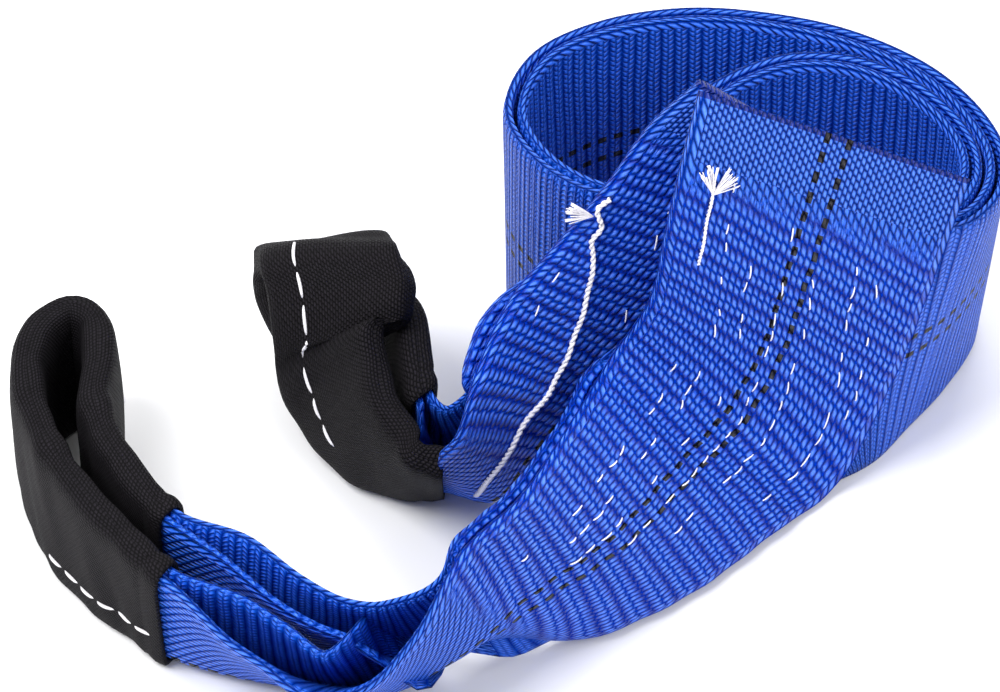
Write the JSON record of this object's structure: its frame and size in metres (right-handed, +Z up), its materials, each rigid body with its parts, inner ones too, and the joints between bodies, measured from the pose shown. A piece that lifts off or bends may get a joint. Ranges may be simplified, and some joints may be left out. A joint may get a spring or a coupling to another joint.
{
  "type": "tow strap",
  "caption": "Flat woven tow strap, doubled and coiled on its edge, with a folded, sleeved and sewn eye at each end.",
  "frame": {"origin": "under the middle of the whole strap, on the floor it stands on", "axes": "+X to the coil's side, away from the eyes; +Y away from the front panel, to the back of the coil; +Z up"},
  "size_m": [0.2366, 0.19, 0.1239],
  "materials": {
    "webbing": "bright blue woven polyester, puckered where sewn",
    "wear_sleeve": "black coarse woven nylon, matt"
  },
  "bodies": {
    "root": {"webbing": "webbing", "sleeve_front": "wear_sleeve", "sleeve_back": "wear_sleeve"}
  },
  "joints": []
}
